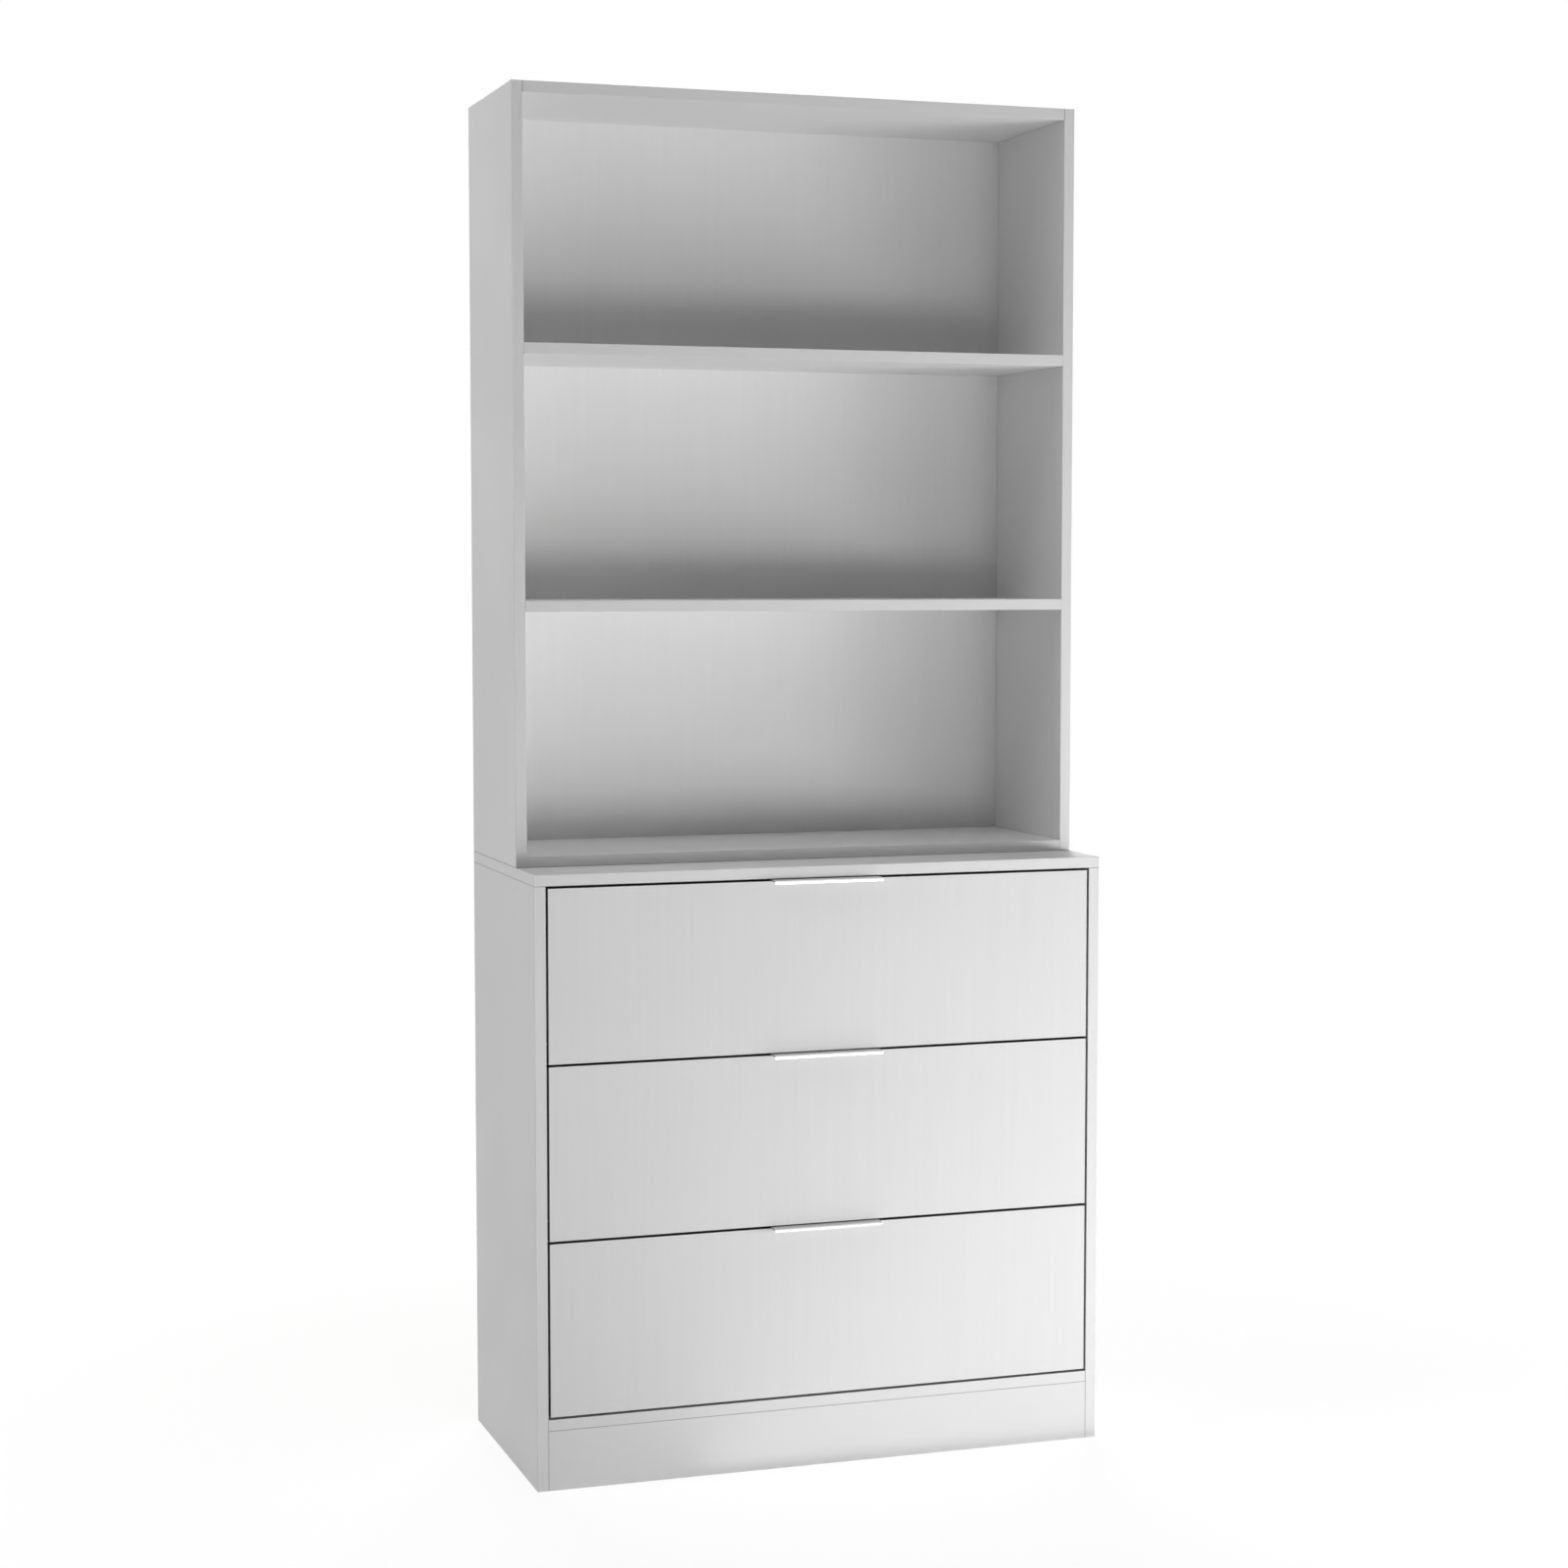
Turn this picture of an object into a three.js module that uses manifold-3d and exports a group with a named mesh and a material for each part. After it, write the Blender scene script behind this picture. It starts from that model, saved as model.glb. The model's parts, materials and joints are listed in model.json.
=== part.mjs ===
// Bookcase with bottom drawers: an open hutch of three compartments stands on a chest of three drawers.
// Millimetres, +Z up. The front looks towards -Y. The origin is on the floor, under the centre of the whole.

import * as THREE from 'three';
import { mergeVertices } from 'three/addons/utils/BufferGeometryUtils.js';
import Module from 'manifold-3d';

const manifold = await Module();
manifold.setup();

// Carcass boards
const cabinetWidth = 800;
const boardThickness = 15;
const boardSeam = 0.1;

// Back panels, held in grooves of the sides and tops
const backThickness = 3;
const backInset = 15;
const grooveDepth = 6;
const grooveClearance = 0.3;

// Chest
const chestDepth = 355;
const plinthHeight = 80;
const backLap = 40;

// Hutch
const hutchDepth = 255;
const compartmentHeight = 324;
const compartmentCount = 3;

// Angle brackets that hold the hutch on the chest, in the recess behind the back panel
const bracketLeg = 25;
const bracketWidth = 12;
const bracketSteel = 2;
const bracketBend = 2.5;
const bracketHole = 4;

// Drawer fronts, set in flush with the carcass
const drawerCount = 3;
const frontHeight = 231;
const frontThickness = 15;
const frontGap = 3;

// Cam bores: blind, drilled from a hidden face of each board that is joined by cams and dowels
const camBore = 15;
const camFloor = 2.5;
const camEndInset = 24;
const camEdgeInset = 45;
const boxCamInset = 16;

// Drawer boxes, as deep as their rails are long
const boxBoard = 12;
const boxSideHeight = 160;
const boxRise = 14;
const boxBottomThickness = 3;
const boxBottomRise = 10;
const boxGrooveDepth = 5;

// Edge pulls, bent over the top edge of each front
const handleLength = 153;
const handleReach = 17;
const handleThickness = 1.5;
const handleBend = 1.6;
const handleLip = 4.5;
const handleLeg = 24;
const handleScrewHole = 4;
const handleScrewInset = 20;
const handleScrewDrop = 15;

// Ball-bearing rails: a rail on the chest side, a rail on the drawer side and a cage of balls between them
const railRearClearance = 22;
const railSetback = 2;
const railSpace = 12.7;
const railHeight = 35;
const railSteel = 1.2;
const railBend = 1.8;
const railRise = 50;
const railScrewHole = 4.5;
const railScrewInset = 28;
const railScrewCount = 3;
const runningGap = 0.3;
const travelShare = 0.7;

// Balls and their cages
const ballDiameter = 4;
const ballsPerRow = 5;
const cageSteel = 0.7;
const cageBend = 1;
const cageRim = 0.9;

// Stops of the rails
const stopTabHeight = 8;
const stopTabProud = 1;
const stopPlay = 1;
const bumperLength = 8;
const bumperWidth = 7;
const bumperHeight = 16;

// Angles at which the rolled races end, measured from level at the ball's centre
const lipAngle = THREE.MathUtils.degToRad(20);
const innerRaceAngle = THREE.MathUtils.degToRad(35);
const quarterTurn = Math.PI / 2;

// Smoothness of bends, holes and balls
const bendSteps = 5;
const raceSteps = 4;
const holeSides = 10;
const boreSides = 16;
const ballMeridians = 6;
const ballRings = 4;

// Distance under which two vertices are one, and the overrun of a cutting tool past the face it cuts
const weldDistance = 0.001;
const overrun = 1;

// Places of the carcass
const sideInnerX = cabinetWidth / 2 - boardThickness;
const rearY = (chestDepth + handleReach) / 2;
const chestFrontY = rearY - chestDepth;
const hutchFrontY = rearY - hutchDepth;
const backRearY = rearY - backInset;
const backFrontY = backRearY - backThickness;
const frontPitch = frontHeight + frontGap;
const chestBottomZ = plinthHeight + boardThickness;
const chestOpening = drawerCount * frontPitch + frontGap;
const chestTopZ = chestBottomZ + chestOpening;
const hutchBaseZ = chestTopZ + boardThickness;
const compartmentPitch = compartmentHeight + boardThickness;
const hutchTopZ = hutchBaseZ + compartmentCount * compartmentPitch + boardThickness;

// Places within a drawer, whose own origin is the middle of its front's lower edge, on the outer face
const railLength = backFrontY - chestFrontY - frontThickness - railRearClearance;
const drawerTravel = travelShare * railLength;
const boxFrontY = frontThickness;
const boxRearY = boxFrontY + railLength;
const boxOuterX = sideInnerX - railSpace;
const boxInnerX = boxOuterX - boxBoard;
const boxTopZ = boxRise + boxSideHeight;
const boxGrooveZ = boxRise + boxBottomRise;
const boxGrooveHeight = boxBottomThickness + 2 * grooveClearance;
const boxBottomZ = boxGrooveZ + grooveClearance;
const railZ = boxRise + railRise;

// Places within a rail, with u from the chest side's inner face towards the middle and w up from its centre
const raceRadius = ballDiameter / 2 + runningGap + railSteel / 2;
const ballW = railHeight / 2 - railSteel / 2 - raceRadius;
const cabinetWebU = boardSeam + railSteel / 2;
const drawerWebU = railSpace - boardSeam - railSteel / 2;
const cageWebU = cabinetWebU + railSteel / 2 + runningGap + cageSteel / 2;
const raceReachU = (raceRadius + railSteel / 2) * Math.cos(innerRaceAngle);
const ballU = cageWebU + cageSteel / 2 + runningGap + raceReachU;

// Lengths along a rail, measured rearwards from the outer face of the front
const railFrontY = boxFrontY + railSetback;
const railRearY = railFrontY + railLength;
const drawerRailRearY = railRearY - bumperLength - runningGap;
const cageFrontY = railFrontY + railSteel + stopPlay + drawerTravel / 2;
const cageRearY = drawerRailRearY - railSteel - stopPlay - drawerTravel / 2;
const cageLength = cageRearY - cageFrontY;

// Finishes
const whiteMelamine = () => new THREE.MeshStandardMaterial({ color: 0xe6e6e4, roughness: 0.55, metalness: 0 });
const whiteHardboard = () => new THREE.MeshStandardMaterial({ color: 0xdededb, roughness: 0.65, metalness: 0 });
const satinAluminium = () => new THREE.MeshStandardMaterial({ color: 0xd8d9da, roughness: 0.3, metalness: 1 });
const zincSteel = () => new THREE.MeshStandardMaterial({ color: 0xb4b7ba, roughness: 0.35, metalness: 1 });
const cageSteelFinish = () => new THREE.MeshStandardMaterial({ color: 0x9da1a5, roughness: 0.4, metalness: 1 });
const blackPlastic = () => new THREE.MeshStandardMaterial({ color: 0x242526, roughness: 0.6, metalness: 0 });

// Welded copy of a geometry that holds only positions and shared vertices
function welded(geometry) {
  const bare = geometry.clone();
  bare.deleteAttribute('normal');
  bare.deleteAttribute('uv');
  return mergeVertices(bare, weldDistance);
}

function solidOf(geometry) {
  const { position } = geometry.attributes;
  const triVerts = Uint32Array.from(geometry.index.array);
  return new manifold.Manifold(new manifold.Mesh({ numProp: 3, vertProperties: position.array, triVerts }));
}

function geometryOf(solid) {
  const { vertProperties, triVerts } = solid.getMesh();
  const geometry = new THREE.BufferGeometry();
  geometry.setAttribute('position', new THREE.BufferAttribute(vertProperties, 3));
  geometry.setIndex(new THREE.BufferAttribute(triVerts, 1));
  return geometry;
}

function cut(geometry, tools) {
  return geometryOf(tools.reduce((solid, tool) => solid.subtract(solidOf(tool)), solidOf(geometry)));
}

function join(geometry, additions) {
  return geometryOf(additions.reduce((solid, addition) => solid.add(solidOf(addition)), solidOf(geometry)));
}

// Copy of a right-hand piece for the left side, with its faces turned to point out again
function onSide(hand, geometry) {
  if (hand > 0) return geometry;
  const mirrored = geometry.clone().scale(-1, 1, 1);
  const index = mirrored.index.array;
  for (let i = 0; i < index.length; i += 3) {
    const second = index[i + 1];
    index[i + 1] = index[i + 2];
    index[i + 2] = second;
  }
  return mirrored;
}

// Block between two corners
function block(x, y, z) {
  const geometry = new THREE.BoxGeometry(x[1] - x[0], y[1] - y[0], z[1] - z[0]);
  geometry.translate((x[0] + x[1]) / 2, (y[0] + y[1]) / 2, (z[0] + z[1]) / 2);
  return welded(geometry);
}

function extruded(shape, length) {
  return new THREE.ExtrudeGeometry(shape, { depth: length, bevelEnabled: false });
}

// Section drawn in y and z, run along X
function alongX(shape, fromX, toX) {
  const axes = new THREE.Matrix4().makeBasis(
    new THREE.Vector3(0, 1, 0),
    new THREE.Vector3(0, 0, 1),
    new THREE.Vector3(1, 0, 0),
  );
  return welded(extruded(shape, toX - fromX).applyMatrix4(axes).translate(fromX, 0, 0));
}

// Section drawn in x and z, run along Y
function alongY(shape, frontY, rearEndY) {
  return welded(extruded(shape, rearEndY - frontY).rotateX(quarterTurn).translate(0, rearEndY, 0));
}

// Section drawn in x and y, run along Z
function alongZ(shape, fromZ, toZ) {
  return welded(extruded(shape, toZ - fromZ).translate(0, 0, fromZ));
}

function outline(points) {
  return new THREE.Shape(points.map(([a, b]) => new THREE.Vector2(a, b)));
}

// Round cutting tools along each axis
function holeAlongX(diameter, x, y, z, sides = holeSides) {
  const geometry = new THREE.CylinderGeometry(diameter / 2, diameter / 2, x[1] - x[0], sides);
  return welded(geometry.rotateZ(quarterTurn).translate((x[0] + x[1]) / 2, y, z));
}

function holeAlongY(diameter, x, y, z) {
  const geometry = new THREE.CylinderGeometry(diameter / 2, diameter / 2, y[1] - y[0], holeSides);
  return welded(geometry.translate(x, (y[0] + y[1]) / 2, z));
}

function holeAlongZ(diameter, x, y, z, sides = holeSides) {
  const geometry = new THREE.CylinderGeometry(diameter / 2, diameter / 2, z[1] - z[0], sides);
  return welded(geometry.rotateX(quarterTurn).translate(x, y, (z[0] + z[1]) / 2));
}

// Outline of a bent strip: its centre line, moved half a thickness to each side with mitred corners
function stripOutline(centreLine, thickness) {
  const line = centreLine.filter((point, i) => i === 0 || point.distanceTo(centreLine[i - 1]) > weldDistance);
  const headings = line.slice(1).map((point, i) => point.clone().sub(line[i]).normalize());
  const offsets = line.map((point, i) => {
    const before = headings[Math.max(i - 1, 0)];
    const after = headings[Math.min(i, headings.length - 1)];
    const heading = before.clone().add(after).normalize();
    const reach = thickness / 2 / heading.dot(after);
    return new THREE.Vector2(-heading.y, heading.x).multiplyScalar(reach);
  });
  const left = line.map((point, i) => point.clone().add(offsets[i]));
  const right = line.map((point, i) => point.clone().sub(offsets[i]));
  return new THREE.Shape(left.concat(right.reverse()));
}

// Centre line of a rail or cage, whose lower half mirrors the upper one, set in the right-hand rail's place
function railSection(upperHalf, thickness) {
  const points = upperHalf.getPoints(raceSteps);
  const lowerHalf = points.map((point) => new THREE.Vector2(point.x, -point.y)).reverse();
  const placed = lowerHalf.concat(points).map(({ x, y }) => new THREE.Vector2(sideInnerX - x, railZ + y));
  return stripOutline(placed, thickness);
}

// Tools for the blind cam bores of a board between the sides, two near each end
function camBores(frontY, rearEndY, z) {
  const endX = sideInnerX - camEndInset;
  const places = [-endX, endX].flatMap((x) => [[x, frontY + camEdgeInset], [x, rearEndY - camEdgeInset]]);
  return places.map(([x, y]) => holeAlongZ(camBore, x, y, z, boreSides));
}

function boresFromAbove(frontY, topZ) {
  return camBores(frontY, backFrontY, [topZ - boardThickness + camFloor, topZ + overrun]);
}

function boresFromBelow(frontY, undersideZ) {
  return camBores(frontY, backFrontY, [undersideZ - overrun, undersideZ + boardThickness - camFloor]);
}

// Sides, with the back panel's groove in the inner face near the rear edge
function sideBoard(hand, frontY, fromZ, toZ, bores = []) {
  const outerX = cabinetWidth / 2;
  const grooveX = sideInnerX + grooveDepth;
  const section = outline([
    [sideInnerX, frontY],
    [outerX, frontY],
    [outerX, rearY],
    [sideInnerX, rearY],
    [sideInnerX, backRearY + grooveClearance],
    [grooveX, backRearY + grooveClearance],
    [grooveX, backFrontY - grooveClearance],
    [sideInnerX, backFrontY - grooveClearance],
  ]);
  return onSide(hand, cut(alongZ(section, fromZ, toZ), bores));
}

// Board between the sides
function crossBoard(frontY, rearEndY, fromZ, toZ) {
  const endX = sideInnerX - boardSeam;
  return block([-endX, endX], [frontY, rearEndY], [fromZ, toZ]);
}

// Top boards, with the back panel's groove in the underside, stopped in the thickness of the sides
function topBoard(endX, frontY, undersideZ, bores = []) {
  const board = block([-endX, endX], [frontY, rearY], [undersideZ, undersideZ + boardThickness]);
  const grooveX = sideInnerX + grooveDepth;
  const groove = block(
    [-grooveX, grooveX],
    [backFrontY - grooveClearance, backRearY + grooveClearance],
    [undersideZ - overrun, undersideZ + grooveDepth],
  );
  return cut(board, [groove, ...bores]);
}

function backPanel(fromZ, undersideZ) {
  const endX = sideInnerX + grooveDepth - grooveClearance;
  return block([-endX, endX], [backFrontY, backRearY], [fromZ, undersideZ + grooveDepth - grooveClearance]);
}

// Bent steel angle with one screw hole in each leg, at the foot of a hutch side
function hutchBracket(hand) {
  const legX = sideInnerX - boardSeam - bracketSteel / 2;
  const legZ = hutchBaseZ + boardSeam + bracketSteel / 2;
  const path = new THREE.Path();
  path.moveTo(sideInnerX - bracketLeg, legZ);
  path.lineTo(legX - bracketBend, legZ);
  path.absarc(legX - bracketBend, legZ + bracketBend, bracketBend, -quarterTurn, 0, false);
  path.lineTo(legX, hutchBaseZ + bracketLeg);
  const middleY = (backRearY + rearY) / 2;
  const section = stripOutline(path.getPoints(bendSteps), bracketSteel);
  const angle = alongY(section, middleY - bracketWidth / 2, middleY + bracketWidth / 2);
  const holeReach = (bracketLeg + bracketBend + bracketSteel) / 2;
  const holeX = [sideInnerX - bracketSteel - overrun, sideInnerX + overrun];
  const holeZ = [hutchBaseZ - overrun, hutchBaseZ + bracketSteel + overrun];
  const wallHole = holeAlongX(bracketHole, holeX, middleY, hutchBaseZ + holeReach);
  const floorHole = holeAlongZ(bracketHole, sideInnerX - holeReach, middleY, holeZ);
  return onSide(hand, cut(angle, [wallHole, floorHole]));
}

// Drawer front, with the bottom panel's groove in its rear face
function drawerFront() {
  const endX = sideInnerX - frontGap;
  const section = outline([
    [0, 0],
    [frontThickness, 0],
    [frontThickness, boxGrooveZ],
    [frontThickness - boxGrooveDepth, boxGrooveZ],
    [frontThickness - boxGrooveDepth, boxGrooveZ + boxGrooveHeight],
    [frontThickness, boxGrooveZ + boxGrooveHeight],
    [frontThickness, frontHeight],
    [0, frontHeight],
  ]);
  return alongX(section, -endX, endX);
}

// Drawer side, with the bottom panel's groove and the front's cam bores in its inner face
function drawerSide(hand) {
  const grooveX = boxInnerX + boxGrooveDepth;
  const section = outline([
    [boxOuterX, boxRise],
    [boxOuterX, boxTopZ],
    [boxInnerX, boxTopZ],
    [boxInnerX, boxGrooveZ + boxGrooveHeight],
    [grooveX, boxGrooveZ + boxGrooveHeight],
    [grooveX, boxGrooveZ],
    [boxInnerX, boxGrooveZ],
    [boxInnerX, boxRise],
  ]);
  const boreX = [boxInnerX - overrun, boxOuterX - camFloor];
  const boreLevels = [boxBottomZ + boxBottomThickness + boxCamInset, boxTopZ - boxCamInset];
  const bores = boreLevels.map((z) => holeAlongX(camBore, boreX, boxFrontY + camEndInset, z, boreSides));
  return onSide(hand, cut(alongY(section, boxFrontY + boardSeam, boxRearY), bores));
}

// Drawer back, which stands on the bottom panel between the sides
function drawerBack() {
  const endX = boxInnerX - boardSeam;
  const fromZ = boxBottomZ + boxBottomThickness + boardSeam;
  return block([-endX, endX], [boxRearY - boxBoard, boxRearY], [fromZ, boxTopZ]);
}

function drawerBottom() {
  const endX = boxInnerX + boxGrooveDepth - grooveClearance;
  const frontY = frontThickness - boxGrooveDepth + grooveClearance;
  return block([-endX, endX], [frontY, boxRearY], [boxBottomZ, boxBottomZ + boxBottomThickness]);
}

// Edge pull: a lip turned down in front, a flange over the top edge and a screwed leg behind the front
function drawerHandle() {
  const flangeZ = frontHeight + boardSeam + handleThickness / 2;
  const lipY = handleThickness / 2 - handleReach;
  const legY = frontThickness + boardSeam + handleThickness / 2;
  const topZ = flangeZ + handleThickness / 2;
  const path = new THREE.Path();
  path.moveTo(lipY, topZ - handleLip);
  path.lineTo(lipY, flangeZ - handleBend);
  path.absarc(lipY + handleBend, flangeZ - handleBend, handleBend, Math.PI, quarterTurn, true);
  path.lineTo(legY, flangeZ);
  path.lineTo(legY, topZ - handleLeg);
  const section = stripOutline(path.getPoints(bendSteps), handleThickness);
  const profile = alongX(section, -handleLength / 2, handleLength / 2);
  const screwX = handleLength / 2 - handleScrewInset;
  const holeY = [frontThickness - overrun, frontThickness + handleThickness + overrun];
  const holes = [-screwX, screwX].map((x) => holeAlongY(handleScrewHole, x, holeY, topZ - handleScrewDrop));
  return cut(profile, holes);
}

// Screw holes through a rail's web, evenly spaced between the insets at its two ends
function railHoles(webU, frontY, rearEndY) {
  const webX = sideInnerX - webU;
  const pitch = (rearEndY - frontY - 2 * railScrewInset) / (railScrewCount - 1);
  const reach = [webX - railSteel / 2 - overrun, webX + railSteel / 2 + overrun];
  return Array.from({ length: railScrewCount }, (_, i) => {
    return holeAlongX(railScrewHole, reach, frontY + railScrewInset + i * pitch, railZ);
  });
}

// Tab bent in from a rail's web, from a little inside the web to where it stops the cage
function stopTab(fromU, toU, frontY) {
  return block(
    [sideInnerX - toU, sideInnerX - fromU],
    [frontY, frontY + railSteel],
    [railZ - stopTabHeight / 2, railZ + stopTabHeight / 2],
  );
}

// Chest-side rail: a channel whose flanges curl over the outside of the balls, with its stop at the front
function cabinetRail(hand) {
  const flangeW = ballW + raceRadius;
  const upperHalf = new THREE.Path();
  upperHalf.moveTo(cabinetWebU, flangeW - railBend);
  upperHalf.absarc(cabinetWebU + railBend, flangeW - railBend, railBend, Math.PI, quarterTurn, true);
  upperHalf.absarc(ballU, ballW, raceRadius, quarterTurn, lipAngle, true);
  const channel = alongY(railSection(upperHalf, railSteel), railFrontY, railRearY);
  const tab = stopTab(cabinetWebU, cabinetWebU + railSteel / 2 + stopTabProud, railFrontY);
  return onSide(hand, cut(join(channel, [tab]), railHoles(cabinetWebU, railFrontY, railRearY)));
}

// Drawer-side rail: a channel whose flanges are grooved under the balls, with its stop at the rear
function drawerRail(hand) {
  const flangeW = ballW - raceRadius * Math.sin(innerRaceAngle);
  const upperHalf = new THREE.Path();
  upperHalf.moveTo(drawerWebU, flangeW - railBend);
  upperHalf.absarc(drawerWebU - railBend, flangeW - railBend, railBend, 0, quarterTurn, false);
  upperHalf.absarc(ballU, ballW, raceRadius, -innerRaceAngle, innerRaceAngle - Math.PI, true);
  const channel = alongY(railSection(upperHalf, railSteel), railFrontY, drawerRailRearY);
  const tab = stopTab(cageWebU, drawerWebU, drawerRailRearY - railSteel);
  return onSide(hand, cut(join(channel, [tab]), railHoles(drawerWebU, railFrontY, drawerRailRearY)));
}

// Ball cage: a bent strip between the rails, with a row of balls in its upper and its lower flange
function ballCage(hand) {
  const upperHalf = new THREE.Path();
  upperHalf.moveTo(cageWebU, ballW - cageBend);
  upperHalf.absarc(cageWebU + cageBend, ballW - cageBend, cageBend, Math.PI, quarterTurn, true);
  upperHalf.lineTo(ballU + ballDiameter / 2 + cageRim, ballW);
  const strip = alongY(railSection(upperHalf, cageSteel), cageFrontY, cageRearY);
  const pitch = cageLength / ballsPerRow;
  const balls = [];
  for (const w of [-ballW, ballW]) {
    for (let i = 0; i < ballsPerRow; i += 1) {
      const ball = new THREE.SphereGeometry(ballDiameter / 2, ballMeridians, ballRings);
      ball.rotateX(quarterTurn).translate(sideInnerX - ballU, cageFrontY + (i + 1 / 2) * pitch, railZ + w);
      balls.push(welded(ball));
    }
  }
  return onSide(hand, join(strip, balls));
}

// Soft pad at the rear of the chest-side rail, with a round nose that the drawer-side rail meets
function railBumper(hand) {
  const outerX = sideInnerX - cabinetWebU - railSteel / 2 - boardSeam;
  const noseRadius = bumperWidth / 2;
  const noseY = railRearY - bumperLength + noseRadius;
  const section = new THREE.Shape();
  section.moveTo(outerX, railRearY);
  section.lineTo(outerX - bumperWidth, railRearY);
  section.absarc(outerX - noseRadius, noseY, noseRadius, Math.PI, 2 * Math.PI, false);
  return onSide(hand, alongZ(section, railZ - bumperHeight / 2, railZ + bumperHeight / 2));
}

function addPiece(group, name, geometry, finish) {
  const piece = new THREE.Mesh(geometry, finish());
  piece.geometry.computeVertexNormals();
  piece.name = name;
  group.add(piece);
}

const sides = [['left', -1], ['right', 1]];

function chest() {
  const group = new THREE.Group();
  const undersideZ = chestTopZ;
  const boreX = [sideInnerX - overrun, cabinetWidth / 2 - camFloor];
  const bores = [chestFrontY + camEdgeInset, backFrontY - camEdgeInset].map((y) => {
    return holeAlongX(camBore, boreX, y, undersideZ - camEndInset, boreSides);
  });
  for (const [side, hand] of sides) {
    const board = sideBoard(hand, chestFrontY, 0, undersideZ - boardSeam, bores);
    addPiece(group, `chest_side_${side}`, board, whiteMelamine);
  }
  const panelFrontY = backFrontY - boardSeam;
  const plinthTopZ = plinthHeight - boardSeam;
  const plinthFront = crossBoard(chestFrontY, chestFrontY + boardThickness, 0, plinthTopZ);
  const plinthRear = crossBoard(panelFrontY - boardThickness, panelFrontY, 0, plinthTopZ);
  addPiece(group, 'chest_top', topBoard(cabinetWidth / 2, chestFrontY, undersideZ), whiteMelamine);
  const bottom = crossBoard(chestFrontY, panelFrontY, plinthHeight, chestBottomZ);
  addPiece(group, 'chest_bottom', cut(bottom, boresFromBelow(chestFrontY, plinthHeight)), whiteMelamine);
  addPiece(group, 'chest_plinth_front', plinthFront, whiteMelamine);
  addPiece(group, 'chest_plinth_rear', plinthRear, whiteMelamine);
  addPiece(group, 'chest_back', backPanel(plinthHeight - backLap, undersideZ), whiteHardboard);
  return group;
}

function hutch() {
  const group = new THREE.Group();
  const footZ = hutchBaseZ + boardSeam;
  const undersideZ = hutchTopZ - boardThickness;
  for (const [side, hand] of sides) {
    addPiece(group, `hutch_side_${side}`, sideBoard(hand, hutchFrontY, footZ, hutchTopZ), whiteMelamine);
    addPiece(group, `hutch_bracket_${side}`, hutchBracket(hand), zincSteel);
  }
  const crossNames = ['hutch_bottom', 'hutch_shelf_lower', 'hutch_shelf_upper'];
  crossNames.forEach((name, i) => {
    const levelZ = footZ + i * compartmentPitch;
    const topZ = levelZ + boardThickness - boardSeam;
    const board = crossBoard(hutchFrontY, backFrontY - boardSeam, levelZ, topZ);
    const bores = i === 0 ? boresFromBelow(hutchFrontY, levelZ) : boresFromAbove(hutchFrontY, topZ);
    addPiece(group, name, cut(board, bores), whiteMelamine);
  });
  const top = topBoard(sideInnerX - boardSeam, hutchFrontY, undersideZ, boresFromAbove(hutchFrontY, hutchTopZ));
  addPiece(group, 'hutch_top', top, whiteMelamine);
  addPiece(group, 'hutch_back', backPanel(hutchBaseZ + grooveClearance, undersideZ), whiteHardboard);
  return group;
}

// One drawer with its rails, cages and bumpers, counted from the top
function drawer(number) {
  const group = new THREE.Group();
  group.position.set(0, chestFrontY, chestBottomZ + frontGap + (drawerCount - number) * frontPitch);
  addPiece(group, `drawer_${number}_front`, drawerFront(), whiteMelamine);
  addPiece(group, `drawer_${number}_handle`, drawerHandle(), satinAluminium);
  addPiece(group, `drawer_${number}_back`, drawerBack(), whiteMelamine);
  addPiece(group, `drawer_${number}_bottom`, drawerBottom(), whiteHardboard);
  for (const [side, hand] of sides) {
    addPiece(group, `drawer_${number}_side_${side}`, drawerSide(hand), whiteMelamine);
    addPiece(group, `drawer_${number}_rail_${side}`, drawerRail(hand), zincSteel);
    addPiece(group, `cabinet_rail_${number}_${side}`, cabinetRail(hand), zincSteel);
    addPiece(group, `ball_cage_${number}_${side}`, ballCage(hand), cageSteelFinish);
    addPiece(group, `rail_bumper_${number}_${side}`, railBumper(hand), blackPlastic);
  }
  return group;
}

const bookcase = new THREE.Group();
bookcase.add(chest(), hutch());
for (let number = 1; number <= drawerCount; number += 1) bookcase.add(drawer(number));

export default bookcase;
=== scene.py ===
"""Looks of the bookcase with bottom drawers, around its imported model. Metres, +Z up, the front towards -Y."""

import json
import math

import bmesh
import bpy
from mathutils import Matrix, Vector


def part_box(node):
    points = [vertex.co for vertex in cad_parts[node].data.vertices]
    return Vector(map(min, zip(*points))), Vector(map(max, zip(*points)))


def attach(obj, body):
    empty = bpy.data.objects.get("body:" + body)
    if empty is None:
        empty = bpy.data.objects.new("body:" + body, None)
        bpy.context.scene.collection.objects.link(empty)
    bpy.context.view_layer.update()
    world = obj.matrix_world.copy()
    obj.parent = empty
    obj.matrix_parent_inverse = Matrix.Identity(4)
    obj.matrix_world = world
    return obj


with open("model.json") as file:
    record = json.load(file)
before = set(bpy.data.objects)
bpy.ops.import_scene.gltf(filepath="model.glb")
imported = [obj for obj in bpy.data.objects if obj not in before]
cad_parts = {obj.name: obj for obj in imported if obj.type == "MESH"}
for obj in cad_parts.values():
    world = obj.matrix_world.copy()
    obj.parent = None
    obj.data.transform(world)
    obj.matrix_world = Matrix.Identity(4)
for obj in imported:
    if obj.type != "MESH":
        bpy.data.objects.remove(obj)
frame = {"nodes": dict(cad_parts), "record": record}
nodes = frame["nodes"]
scene = bpy.context.scene
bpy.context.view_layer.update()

MM = 0.001

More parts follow.
